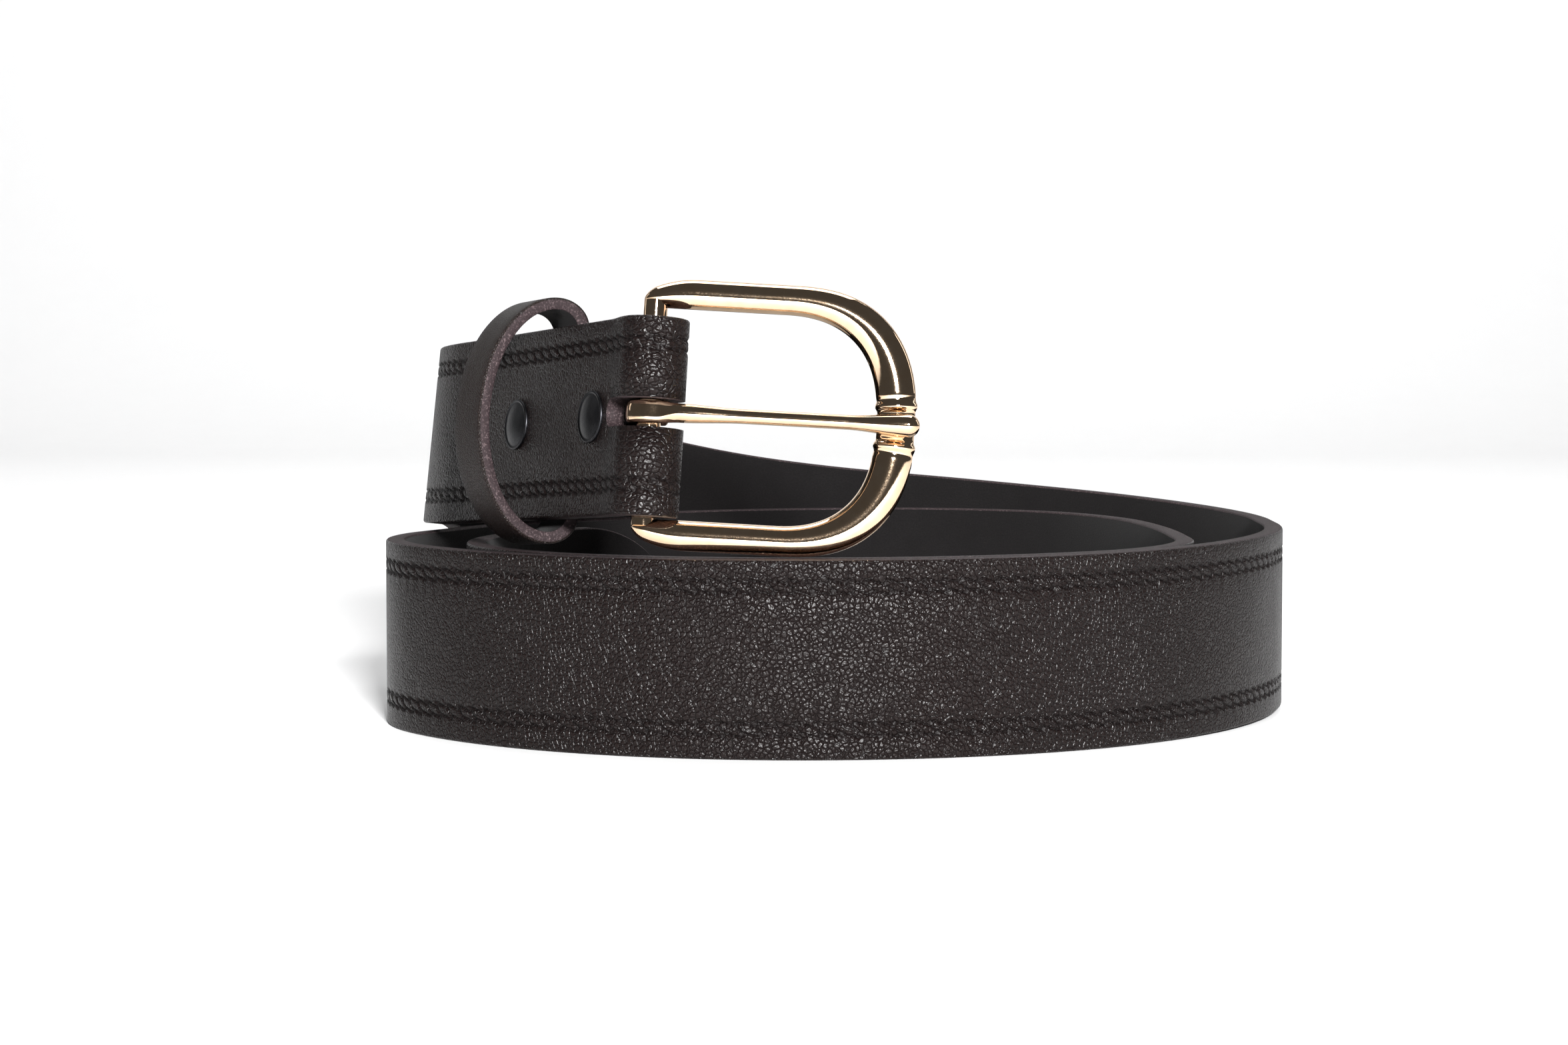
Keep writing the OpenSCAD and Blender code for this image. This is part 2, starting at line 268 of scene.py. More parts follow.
class Nodes:
    """Short hand for building a material's node tree."""

    def __init__(self, name: str) -> None:
        """Starts a material with a principled shader.

        Args:
            name: Name of the material.
        """
        self.mat = bpy.data.materials.new(name)
        self.mat.use_nodes = True
        self.tree = self.mat.node_tree
        self.shader = self.tree.nodes["Principled BSDF"]

    def add(self, kind: str, **values: object) -> bpy.types.Node:
        """Adds a node and sets its properties.

        Args:
            kind: Node type.
            **values: Properties of the node.

        Returns:
            The node.
        """
        node = self.tree.nodes.new(kind)
        for key, value in values.items():
            setattr(node, key, value)
        return node

    def put(self, node: bpy.types.Node, **inputs: object) -> bpy.types.Node:
        """Sets or links inputs by name, with spaces written as underscores.

        Args:
            node: The node.
            **inputs: Values, or output sockets to link.

        Returns:
            The node.
        """
        for key, value in inputs.items():
            self.feed(node.inputs[key.replace("_", " ")], value)
        return node

    def feed(self, socket: bpy.types.NodeSocket, value: object) -> None:
        """Links one input to an output socket, or sets its value.

        Args:
            socket: The input.
            value: Output socket or value.
        """
        if isinstance(value, bpy.types.NodeSocket):
            self.tree.links.new(value, socket)
        else:
            socket.default_value = value

    def coords(self, uv: bool) -> bpy.types.NodeSocket:
        """The piece's own UV in metres, or its object coordinates.

        Args:
            uv: True for UV.

        Returns:
            The output socket.
        """
        if uv:
            return self.add("ShaderNodeUVMap", uv_map="surface").outputs["UV"]
        return self.add("ShaderNodeTexCoord").outputs["Object"]

    def noise(self, vector: bpy.types.NodeSocket, scale: float, detail: float = 3.0,
              rough: float = 0.5) -> bpy.types.NodeSocket:
        """Noise between 0 and 1.

        Args:
            vector: Coordinates.
            scale: Cells per metre.
            detail: Octaves.
            rough: How strong the finer octaves are.

        Returns:
            The output socket.
        """
        node = self.add("ShaderNodeTexNoise")
        self.put(node, Vector=vector, Scale=scale, Detail=detail, Roughness=rough)
        return node.outputs["Fac"]

    def cells(self, vector: bpy.types.NodeSocket, scale: float,
              soft: float = 0.4) -> bpy.types.NodeSocket:
        """Distance from the middle of smooth random cells.

        Args:
            vector: Coordinates.
            scale: Cells per metre.
            soft: How soft the borders are.

        Returns:
            The output socket.
        """
        node = self.add("ShaderNodeTexVoronoi", feature="SMOOTH_F1")
        self.put(node, Vector=vector, Scale=scale, Smoothness=soft)
        return node.outputs["Distance"]

    def cracks(self, vector: bpy.types.NodeSocket, scale: float) -> bpy.types.NodeSocket:
        """Distance from the border between random cells.

        Args:
            vector: Coordinates.
            scale: Cells per metre.

        Returns:
            The output socket.
        """
        node = self.add("ShaderNodeTexVoronoi", feature="DISTANCE_TO_EDGE")
        self.put(node, Vector=vector, Scale=scale)
        return node.outputs["Distance"]

    def span(self, value: bpy.types.NodeSocket, a: float, b: float, low: float,
             high: float) -> bpy.types.NodeSocket:
        """Maps a value from a..b to low..high, cut off at the ends.

        Args:
            value: Input.
            a: Input at the low end.
            b: Input at the high end.
            low: Output at a.
            high: Output at b.

        Returns:
            The output socket.
        """
        node = self.add("ShaderNodeMapRange")
        self.put(node, Value=value, From_Min=a, From_Max=b, To_Min=low, To_Max=high)
        return node.outputs["Result"]

    def mix(self, fac: bpy.types.NodeSocket | float, a: Sequence[float] | bpy.types.NodeSocket,
            b: Sequence[float] | bpy.types.NodeSocket) -> bpy.types.NodeSocket:
        """Mixes two colours.

        Args:
            fac: Share of b.
            a: First colour.
            b: Second colour.

        Returns:
            The output socket.
        """
        node = self.add("ShaderNodeMix", data_type="RGBA")
        self.feed(node.inputs[0], fac)
        for index, value in ((6, a), (7, b)):
            solid = not isinstance(value, bpy.types.NodeSocket)
            self.feed(node.inputs[index], (*value, 1.0) if solid else value)
        return node.outputs[2]

    def math(self, kind: str, a: bpy.types.NodeSocket | float,
             b: bpy.types.NodeSocket | float) -> bpy.types.NodeSocket:
        """Joins two values by arithmetic.

        Args:
            kind: Operation.
            a: First value.
            b: Second value.

        Returns:
            The output socket.
        """
        node = self.add("ShaderNodeMath", operation=kind)
        self.feed(node.inputs[0], a)
        self.feed(node.inputs[1], b)
        return node.outputs[0]

    def bump(self, height: bpy.types.NodeSocket, strength: float, depth: float,
             below: Optional[bpy.types.NodeSocket] = None) -> bpy.types.NodeSocket:
        """A bump, on top of another if given.

        Args:
            height: Height from 0 to 1.
            strength: Strength.
            depth: Depth in metres.
            below: Normal that this one adds to.

        Returns:
            The normal.
        """
        node = self.add("ShaderNodeBump")
        self.put(node, Height=height, Strength=strength, Distance=depth)
        if below is not None:
            self.put(node, Normal=below)
        return node.outputs["Normal"]


@dataclass(frozen=True)
class GrainLeather:
    """Grain side of pebbled, lightly polished leather.

    Attributes:
        name: Material name.
        colour: Main colour.
        deep: Colour of the painted shade in the creases and pressed rope lines.
        pebble: Size of a pebble, in metres.
        depth: Depth of the pebble creases, in metres.
        rough: Roughness of the polished tops.
        specular: Strength of the polish.
        wobble: Cells per metre of the noise that bends the creases.
        pores: Pores per metre.
        clouds: Soft patches of tone per metre.
    """

    name: str
    colour: Colour = (0.0064, 0.0040, 0.0037)
    deep: Colour = (0.0022, 0.0010, 0.0010)
    pebble: float = 0.00095
    depth: float = 0.00022
    rough: float = 0.31
    specular: float = 0.17
    wobble: float = 700.0
    pores: float = 5200.0
    clouds: float = 55.0

    def make(self) -> bpy.types.Material:
        """Builds the material.

        Returns:
            The material.
        """
        n = Nodes(self.name)
        uv = n.coords(True)
        wobble = n.add("ShaderNodeTexNoise")
        n.put(wobble, Vector=uv, Scale=self.wobble, Detail=2.0)
        shift = n.add("ShaderNodeVectorMath", operation="SCALE")
        n.put(shift, Vector=wobble.outputs["Color"])
        shift.inputs["Scale"].default_value = self.pebble * 0.9
        place = n.add("ShaderNodeVectorMath", operation="ADD")
        n.tree.links.new(uv, place.inputs[0])
        n.tree.links.new(shift.outputs[0], place.inputs[1])
        moved = place.outputs[0]
        crack = n.cracks(moved, 1.0 / self.pebble)
        small = n.cells(moved, 2.3 / self.pebble, 0.3)
        top = n.span(crack, 0.0, 0.20, 0.0, 1.0)
        fine = n.span(small, 0.2, 0.8, 1.0, 0.0)
        pores = n.noise(uv, self.pores, 2.0)
        cloud = n.noise(uv, self.clouds, 4.0)
        groove = n.add("ShaderNodeAttribute", attribute_name="groove").outputs["Fac"]
        tone = n.mix(n.span(cloud, 0.3, 0.7, 0.0, 0.30), self.colour, self.deep)
        # Painted shade: the creases between the pebbles and the pressed rope grooves are
        # darkened towards deep.
        tone = n.mix(n.span(top, 0.0, 0.7, 0.9, 0.0), tone, self.deep)
        tone = n.mix(n.math("MULTIPLY", groove, 0.85), tone, self.deep)
        height = n.math("ADD", n.math("MULTIPLY", top, 0.75), n.math("MULTIPLY", fine, 0.25))
        normal = n.bump(height, 0.95, self.depth)
        normal = n.bump(pores, 0.35, self.depth * 0.25, normal)
        worn = n.math("ADD", n.span(cloud, 0.3, 0.7, self.rough, self.rough + 0.08),
                      n.math("MULTIPLY", groove, 0.2))
        n.put(n.shader, Base_Color=tone, Roughness=worn, Normal=normal)
        n.shader.inputs["Specular IOR Level"].default_value = self.specular
        return n.mat


@dataclass(frozen=True)
class FleshLeather:
    """Suede-like flesh side: rough, dark, with a short nap.

    Attributes:
        name: Material name.
        colour: Main colour.
        pale: Colour of the raised nap.
        nap: Tufts per metre.
        patches: Soft patches of tone per metre.
        rough: Roughness.
    """

    name: str
    colour: Colour = (0.0034, 0.0029, 0.0030)
    pale: Colour = (0.0088, 0.0078, 0.0080)
    nap: float = 2600.0
    patches: float = 120.0
    rough: float = 0.92

    def make(self) -> bpy.types.Material:
        """Builds the material.

        Returns:
            The material.
        """
        n = Nodes(self.name)
        uv = n.coords(True)
        nap = n.noise(uv, self.nap, 4.0, 0.7)
        patch = n.noise(uv, self.patches, 4.0, 0.6)
        tone = n.mix(n.span(nap, 0.35, 0.7, 0.0, 0.8), self.colour, self.pale)
        tone = n.mix(n.span(patch, 0.35, 0.7, 0.0, 0.5), tone, self.colour)
        normal = n.bump(nap, 0.8, 0.00018)
        n.put(n.shader, Base_Color=tone, Roughness=self.rough, Normal=normal)
        n.shader.inputs["Sheen Weight"].default_value = 0.03
        n.shader.inputs["Specular IOR Level"].default_value = 0.12
        return n.mat


@dataclass(frozen=True)
class CutLeather:
    """Dyed cut edge of leather, with fibres running along it.

    Attributes:
        name: Material name.
        colour: Main colour.
        pale: Colour of raised fibres.
        fibres: Fibres per metre.
        knots: Coarse lumps per metre.
        rough: Roughness.
    """

    name: str
    colour: Colour = (0.0150, 0.0088, 0.0100)
    pale: Colour = (0.170, 0.125, 0.128)
    fibres: float = 2300.0
    knots: float = 420.0
    rough: float = 0.70

    def make(self) -> bpy.types.Material:
        """Builds the material.

        Returns:
            The material.
        """
        n = Nodes(self.name)
        place = n.coords(False)
        fibre = n.noise(place, self.fibres, 5.0, 0.75)
        knots = n.noise(place, self.knots, 3.0)
        tone = n.mix(n.span(fibre, 0.52, 0.72, 0.0, 0.75), self.colour, self.pale)
        tone = n.mix(n.span(knots, 0.35, 0.65, 0.35, 0.0), tone, self.colour)
        normal = n.bump(fibre, 0.9, 0.00016)
        normal = n.bump(knots, 0.5, 0.0003, normal)
        n.put(n.shader, Base_Color=tone, Roughness=self.rough, Normal=normal)
        n.shader.inputs["Specular IOR Level"].default_value = 0.22
        return n.mat


@dataclass(frozen=True)
class Metal:
    """Plated metal with faint polishing marks.

    Attributes:
        name: Material name.
        colour: Reflection colour.
        tint: Second colour, in soft patches.
        rough: Roughness.
        marks: Depth of the polishing marks, in metres.
        grain: Marks per metre.
    """

    name: str
    colour: Colour
    tint: Colour
    rough: float
    marks: float = 0.000006
    grain: float = 420.0

    def make(self) -> bpy.types.Material:
        """Builds the material.

        Returns:
            The material.
        """
        n = Nodes(self.name)
        place = n.coords(False)
        soft = n.noise(place, self.grain, 3.0)
        fine = n.noise(place, self.grain * 9.0, 3.0, 0.6)
        tone = n.mix(n.span(soft, 0.3, 0.7, 0.0, 1.0), self.colour, self.tint)
        rough = n.span(fine, 0.35, 0.7, self.rough * 0.75, self.rough * 1.35)
        normal = n.bump(soft, 0.4, self.marks * 4.0)
        normal = n.bump(fine, 0.3, self.marks, normal)
        n.put(n.shader, Base_Color=tone, Metallic=1.0, Roughness=rough, Normal=normal)
        return n.mat


@dataclass(frozen=True)
class Floor:
    """Pale, matt table top.

    Attributes:
        name: Material name.
        colour: Its colour.
    """

    name: str = "pale_floor"
    colour: Colour = (0.86, 0.86, 0.86)

    def make(self) -> bpy.types.Material:
        """Builds the material.

        Returns:
            The material.
        """
        n = Nodes(self.name)
        tone = n.noise(n.coords(False), 40.0, 2.0)
        shade = tuple(c * 0.985 for c in self.colour)
        n.put(n.shader, Base_Color=n.mix(tone, self.colour, shade), Roughness=0.75)
        return n.mat


@dataclass
class Palette:
    """Every finish of the belt, made once."""

    grain: bpy.types.Material = field(init=False)
    flesh: bpy.types.Material = field(init=False)
    edge: bpy.types.Material = field(init=False)
    keeper: bpy.types.Material = field(init=False)
    gold: bpy.types.Material = field(init=False)
    gunmetal: bpy.types.Material = field(init=False)
    wire: bpy.types.Material = field(init=False)

    def __post_init__(self) -> None:
        """Makes the materials."""
        self.grain = GrainLeather("strap_grain").make()
        self.flesh = FleshLeather("strap_flesh").make()
        self.edge = CutLeather("cut_edge").make()
        self.keeper = GrainLeather("keeper_grain", colour=(0.0125, 0.0082, 0.0072),
                                   pebble=0.0006, depth=0.00012, rough=0.44).make()
        self.gold = Metal("polished_gold", (0.93, 0.70, 0.49), (0.87, 0.62, 0.41), 0.05).make()
        self.gunmetal = Metal("gunmetal", (0.034, 0.034, 0.037), (0.024, 0.024, 0.027), 0.36,
                              marks=0.00001, grain=900.0).make()
        self.wire = Metal("staple_wire", (0.60, 0.60, 0.62), (0.50, 0.50, 0.53), 0.28).make()


# --------------------------------------------------------------------------- the strap's path


@dataclass(frozen=True)
class Rings:
    """Cross sections of the strap at stations along it, in millimetres.

    Attributes:
        centre: Middle of each section.
        out: Out of the grain side.
        up: Up the width.
        half_w: Half width.
        half_t: Half thickness.
        run: Distance along the strap.
    """

    centre: Array
    out: Array
    up: Array
    half_w: Array
    half_t: Array
    run: Array


@dataclass(frozen=True)
class Path:
    """Where the strap lies: round the bar, then along the coil to the tip.

    Attributes:
        width: Width of the strap.
        thick: Thickness of the strap.
        fold_thick: Thickness of the folded layer.
        fold_len: Length of the folded layer.
        bar: Middle of the buckle's bar.
        heading: Direction in which the strap leaves the bar, in degrees.
        slope: Its slope there.
        lean: Its lean there, in degrees.
        gap: Gap between the layers.
        bend: Distance from the bar at which the layers lie flat.
        turns: Plan of the coil: (length, 0) is straight and (radius, angle) turns right.
        rises: Rise of the lower edge: (distance, rise, slope, lean).
        tip_len: Length of the narrowing tip.
        fold_in: Inner radius of the fold.
        tip_least: Square of the tip's narrowest share of the width.
    """

    width: float = 38.0
    thick: float = 4.0
    fold_thick: float = 3.0
    fold_len: float = 62.0
    bar: tuple[float, float, float] = (-38.3, -88.0, 64.95)
    heading: float = 119.0
    slope: float = -0.07
    lean: float = 6.0
    gap: float = 3.2
    bend: float = 8.4
    turns: tuple[tuple[float, float], ...] = (
        (71.1, 0), (58, 29), (150, 12), (64, 62), (205, 16), (76, 90), (11.6, 0), (103, 90),
        (90, 58), (50, 57), (44, 0), (92, 65), (50, 62), (94, 20), (320, 8), (13.8, 0),
        (54, 54.7), (98.5, 35.3), (85.5, 28), (50, 62), (58, 55), (15, 0))
    rises: tuple[tuple[float, float, float, float], ...] = (
        (0, 46.2, -0.07, 6), (65, 41.65, -0.07, 6), (112, 38.9, -0.04, 6),
        (135, 36.6, -0.19, 5), (170, 26.8, -0.28, 4), (228, 12.6, -0.17, 1),
        (285, 6.4, -0.085, 0), (320, 3.9, -0.065, 0), (365, 1.7, -0.03, 0),
        (430, 0.8, -0.01, 0), (520, 0, 0, 0))
    tip_len: float = 22.0
    fold_in: float = 2.7
    tip_least: float = 0.04

    @property
    def main_v(self) -> float:
        """Distance of the outer layer's middle from the bar's axis."""
        return self.gap / 2 + self.thick / 2

    @property
    def back_v(self) -> float:
        """Distance of the folded layer's middle from the bar's axis."""
        return -self.gap / 2 - self.fold_thick / 2

    @property
    def fold_r(self) -> float:
        """Radius of the fold's middle round the bar."""
        return self.fold_in + self.thick / 2

    def frame(self, heading: Array, slope: Array, lean: Array) -> tuple[Array, Array, Array]:
        """The strap's own axes: along it, out of its grain side, up its width.

        Args:
            heading: Headings in degrees.
            slope: Slopes.
            lean: Leans in degrees.

        Returns:
            Unit vectors along, out and up.
        """
        h, b = np.radians(heading), np.radians(lean)
        along = unit(np.stack([np.cos(h), np.sin(h), slope], -1))
        side = np.stack([-np.sin(h), np.cos(h), np.zeros_like(h)], -1)
        up = np.cos(b)[..., None] * np.cross(along, side) - np.sin(b)[..., None] * side
        return along, np.cross(up, along), up

    @property
    def end_axes(self) -> tuple[Array, Array, Array]:
        """The axes u, v, w at the buckle end."""
        one = np.ones(1)
        u, v, w = self.frame(self.heading * one, self.slope * one, self.lean * one)
        return u[0], v[0], w[0]

    def at_end(self, uvw: Array) -> Array:
        """Places points given along u, v, w at the buckle end.

        Args:
            uvw: Points.

        Returns:
            Points in the row frame.
        """
        return np.asarray(self.bar) + uvw @ np.stack(self.end_axes)

    @property
    def drop(self) -> float:
        """How far the strap's middle hangs below the bar's, in line with the coil's rise."""
        u, v, w = self.end_axes
        level = (np.asarray(self.bar) + self.bend * u + self.main_v * v)[2]
        rise = self.rises[0][1] + self.slope * self.start_run
        return float((level - rise) / w[2] - self.width / 2)

    @property
    def start_run(self) -> float:
        """Plan distance at which the coil starts."""
        return self.bend / math.hypot(1.0, self.slope)

    @property
    def length(self) -> float:
        """Plan distance of the tip."""
        return self.start_run + sum(
            a if b == 0 else a * math.radians(b) for a, b in self.turns)

    def rise(self, s: Array) -> tuple[Array, Array, Array]:
        """Rise, slope and lean: cubic pieces that meet each knot's rise and slope.

        Args:
            s: Plan distances.

        Returns:
            Rise, slope and lean.
        """
        k = np.array(self.rises, float)
        i = np.clip(np.searchsorted(k[:, 0], s, "right") - 1, 0, len(k) - 2)
        d = k[i + 1, 0] - k[i, 0]
        t = np.clip((s - k[i, 0]) / d, 0.0, 1.0)
        a, da, b, db = k[i, 1], k[i, 2] * d, k[i + 1, 1], k[i + 1, 2] * d
        z = (a + t * da + t**2 * (3 * (b - a) - 2 * da - db) + t**3 * (2 * (a - b) + da + db))
        dz = (da + 2 * t * (3 * (b - a) - 2 * da - db) + 3 * t**2 * (2 * (a - b) + da + db)) / d
        return z, np.where(t >= 1, 0.0, dz), k[i, 3] + (k[i + 1, 3] - k[i, 3]) * ease(t)

    def plan(self, s: Array) -> tuple[Array, Array]:
        """Plan place and heading at plan distances, arc by arc.

        Args:
            s: Plan distances.

        Returns:
            Places by (n, 2) and headings in degrees.
        """
        u, v, w = self.end_axes
        xy = (np.asarray(self.bar) + self.bend * u + self.main_v * v - self.drop * w)[:2]
        head, at = self.heading, self.start_run
        place, heading = np.zeros((len(s), 2)), np.zeros(len(s))
        for a, b in self.turns:
            size = a if b == 0 else a * math.radians(b)
            here = (s >= at - 1e-9)
            d = s[here] - at
            turn = np.zeros_like(d) if b == 0 else d / size * b
            half = np.radians(turn / 2)
            chord = d if b == 0 else 2 * a * np.sin(half)
            h = np.radians(head) - half
            place[here] = xy + chord[:, None] * np.stack([np.cos(h), np.sin(h)], -1)
            heading[here] = head - turn
            c = size if b == 0 else 2 * a * math.sin(math.radians(b / 2))
            hh = math.radians(head - b / 2)
            xy = xy + c * np.array([math.cos(hh), math.sin(hh)])
            head, at = head - b, at + size
        return place, heading

    def coil(self, s: Array) -> Rings:
        """Sections along the coil.

        Args:
            s: Plan distances.

        Returns:
            The sections.
        """
        xy, heading = self.plan(s)
        z, slope, lean = self.rise(s)
        _, out, up = self.frame(heading, slope, lean)
        left = np.maximum(self.length - s, 0.0)
        taper = np.sqrt(np.maximum(self.tip_least,
                                   1 - np.clip(1 - left / self.tip_len, 0, 1) ** 2))
        half = self.width / 2
        centre = np.concatenate([xy, (z + half * up[:, 2])[:, None]], 1)
        return Rings(centre, out, up, half * taper, np.full(len(s), self.thick / 2), s)

    def end(self, steps: tuple[float, float]) -> Rings:
        """Sections of the folded layer, the fold round the bar and the bend after it.

        Args:
            steps: Spacing on the hidden layer and on the fold.

        Returns:
            The sections.
        """
        u_axis, v_axis, w_axis = self.end_axes
        n_back = int((self.fold_len - self.bend) / steps[0])
        n_bend = int(self.bend / steps[1])
        n_turn = int(math.pi * (self.fold_r + 2) / steps[1])
        u0 = np.linspace(self.fold_len, self.bend, n_back, endpoint=False)
        k = np.arange(n_bend) / n_bend
        e = ease(k)
        a = np.radians(180 - 180 * np.arange(n_turn) / n_turn)
        u = np.concatenate([u0, self.bend * (1 - k), -self.fold_r * np.sin(a), self.bend * k])
        v = np.concatenate([np.full(n_back, self.back_v),
                            self.back_v * (1 - e) - self.fold_r * e,
                            self.fold_r * np.cos(a),
                            self.fold_r * (1 - e) + self.main_v * e])
        t = np.concatenate([np.full(n_back, self.fold_thick),
                            self.fold_thick * (1 - e) + self.thick * e,
                            np.full(n_turn + n_bend, self.thick)])
        du, dv = np.gradient(u), np.gradient(v)
        size = np.hypot(du, dv)
        out = (-dv / size)[:, None] * u_axis + (du / size)[:, None] * v_axis
        centre = (np.asarray(self.bar) - self.drop * w_axis + u[:, None] * u_axis
                  + v[:, None] * v_axis)
        run = np.concatenate([[0], np.cumsum(np.hypot(np.diff(u), np.diff(v)))])
        run = run - run[-1] - steps[1] + self.start_run
        count = len(u)
        return Rings(centre, out, np.tile(w_axis, (count, 1)),
                     np.full(count, self.width / 2), t / 2, run)


@dataclass(frozen=True)
class RopeLine:
    """The pressed rope: overlapping slanted ovals in a sunken band.

    Attributes:
        pitch: Distance between ovals.
        top_in: Distance of the upper rope's middle from the upper edge.
        low_in: Distance of the lower rope's middle from the lower edge.
        band: Half height of the band.
        length: Half length of an oval.
        girth: Half width of an oval.
        slant: Slant of an oval, in degrees.
        depth: Depth of the pressed ground.
        sway: How far an oval's middle line sways.
        ring_at: Reach of the groove's middle, where 1 is the oval's own edge.
        ring_w: Width of the groove, as a share of the oval.
        low_shift: How far the lower rope runs ahead of the upper one.
    """

    pitch: float = 3.657
    top_in: float = 5.1
    low_in: float = 5.8
    band: float = 1.75
    length: float = 2.3
    girth: float = 0.74
    slant: float = 26.0
    depth: float = 0.45
    sway: float = 0.16
    ring_at: float = 1.18
    ring_w: float = 0.27
    low_shift: float = 1.4

    def press(self, run: Array, y: Array) -> Array:
        """How deep the leather is pressed: a bell-shaped groove round each oval,
        which later ovals cover where they overlap it.

        Args:
            run: Distance along the strap.
            y: Height above the rope's middle.

        Returns:
            Depth from 0 to 1.
        """
        a = math.radians(self.slant)
        base = np.floor(run / self.pitch)
        press = np.zeros(np.broadcast(run, y).shape)
        for k in (-1, 0, 1, 2):
            x = run - (base + k) * self.pitch
            along = x * math.cos(a) + y * math.sin(a)
            across = -x * math.sin(a) + y * math.cos(a)
            bend = across + self.sway * np.sin(along * 1.2)
            reach = np.sqrt((along / self.length) ** 2 + (bend / self.girth) ** 2)
            ring = np.exp(-((reach - self.ring_at) / self.ring_w) ** 2)
            press = np.maximum(press * ramp(reach, 0.85, 1.05), ring)
        fade = 1 - ramp(np.abs(y), self.band - 0.3, self.band + 0.1)
        return press * fade

    def relief(self, run: Array, w: Array, half: Array) -> Array:
        """Depth of both ropes from 0 to 1 over the grain side.

        Args:
            run: Distance along the strap.
            w: Height above the strap's middle line.
            half: Half width of the strap.

        Returns:
            Depth from 0 to 1.
        """
        return (self.press(run, w - (half - self.top_in))
                + self.press(run + self.low_shift, w + (half - self.low_in)))


# --------------------------------------------------------------------------- pieces


@dataclass
class Strap:
    """The leather strap with its fold, slot, punched holes and rope lines.

    Attributes:
        path: Where it lies.
        palette: Finishes.
        rope: The pressed rope lines.
        fine: Ring spacing where it faces the eye.
        coarse: Ring spacing elsewhere.
        hidden: Ring spacing on the folded layer.
        near: Plan distances at the start and end of the near stretch.
        first: Plan distance up to which the buckle end is fine.
        tail: Length of the last stretch, which has tail_rings rings.
        tail_rings: Rings on it.
        round_r: Radius of the grain side's corners.
        slot_w: Width of the prong's slot.
        slot_u: Distance of the slot's round end from the bar.
        slot_lift: How far the slot's middle sits above the bar's.
        hole_d: Diameter of a punched hole.
        first_hole: Distance of the first hole from the tip.
        hole_pitch: Distance between holes.
        holes: How many holes.
    """

    path: Path
    palette: Palette
    rope: RopeLine = RopeLine()
    fine: float = 0.36
    coarse: float = 0.95
    hidden: float = 1.6
    near: tuple[float, float] = (435.0, 690.0)
    first: float = 76.0
    tail: float = 24.0
    tail_rings: int = 40
    round_r: float = 0.55
    slot_w: float = 5.6
    slot_u: float = 4.4
    slot_lift: float = 0.4
    hole_d: float = 4.8
    first_hole: float = 95.0
    hole_pitch: float = 25.0
    holes: int = 7

    def section(self) -> tuple[Array, Array]:
        """The outline of the section, closely spaced over the rope lines.

        Returns:
            The grain side with its round corners, as (across, height above the grain side),
            and the places across on the flesh side.
        """
        half, r = self.path.width / 2, self.round_r
        top, low, b = half - self.rope.top_in, -(half - self.rope.low_in), self.rope.band
        band = np.linspace(-b - 0.1, b + 0.1, 14)
        w = np.concatenate([[-half + 1.6], low + band, [-8.0, 0.0, 8.0], top + band,
                            [half - 1.6]])
        c = np.radians(np.array([90.0, 60.0, 30.0, 0.0]))
        left = np.stack([-(half - r) - r * np.sin(c), -r + r * np.cos(c)], -1)
        right = np.stack([(half - r) + r * np.sin(c[::-1]), -r + r * np.cos(c[::-1])], -1)
        face = np.stack([w, np.zeros_like(w)], -1)
        grain = np.concatenate([left, face, right])
        back_w = np.array([half, half - 0.3, 9.0, -9.0, -half + 0.3, -half])
        return grain, back_w

    def build(self) -> bpy.types.Object:
        """Builds the strap, cuts its slot and holes, and dresses it.

        Returns:
            The object.
        """
        p = self.path
        a, b = self.near
        c = p.length - self.tail
        s = np.concatenate([
            np.arange(p.start_run, self.first, self.fine),
            np.arange(self.first, a, self.coarse),
            np.arange(a, b, self.fine), np.arange(b, c, self.coarse),
            np.linspace(c, p.length, self.tail_rings)])
        end, coil = p.end((self.hidden, self.fine)), p.coil(s)
        rings = Rings(*(np.concatenate([getattr(end, k), getattr(coil, k)])
                        for k in ("centre", "out", "up", "half_w", "half_t", "run")))
        grain, back_w = self.section()
        n_g, n_b = len(grain), len(back_w)
        half = p.width / 2
        share = (rings.half_w / half)[:, None]
        w_g = grain[None, :, 0] * share
        press = np.zeros((len(rings.run), n_g))
        inner = slice(4, n_g - 4)
        press[:, inner] = self.rope.relief(rings.run[:, None], w_g[:, inner],
                                           rings.half_w[:, None])
        n_off = rings.half_t[:, None] + grain[None, :, 1] - self.rope.depth * press
        w_b = back_w[None, :] * share
        bevel = np.array([0.3, 0.0, 0.0, 0.0, 0.0, 0.3])
        n_b_off = bevel[None, :] - rings.half_t[:, None]
        w_all = np.concatenate([w_g, w_b], 1)
        off = np.concatenate([n_off, n_b_off], 1)
        pts = (rings.centre[:, None, :] + off[..., None] * rings.out[:, None, :]
               + w_all[..., None] * rings.up[:, None, :])
        uv = np.stack(np.broadcast_arrays(rings.run[:, None] * MM, w_all * MM), -1)
        # The groove depth also darkens the grain colour there as painted shade, and roughens it.
        mark = np.concatenate([press, np.zeros((len(rings.run), n_b))], 1)
        index = np.full(n_g + n_b, GRAIN)
        index[0] = EDGE
        index[n_g - 2:n_g + 1] = EDGE
        index[n_g + 1:n_g + n_b - 2] = FLESH
        index[n_g + n_b - 2:] = EDGE
        surface = Surface()
        surface.tube(pts, uv, mark, index, cap_slot=EDGE)
        mats = (self.palette.grain, self.palette.flesh, self.palette.edge)
        obj = surface.build("strap_leather", mats, 48.0)
        cut(obj, [self.slot_tool(), *self.hole_tools()])
        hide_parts("strap")
        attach(obj, Body.STRAP.value)
        return obj

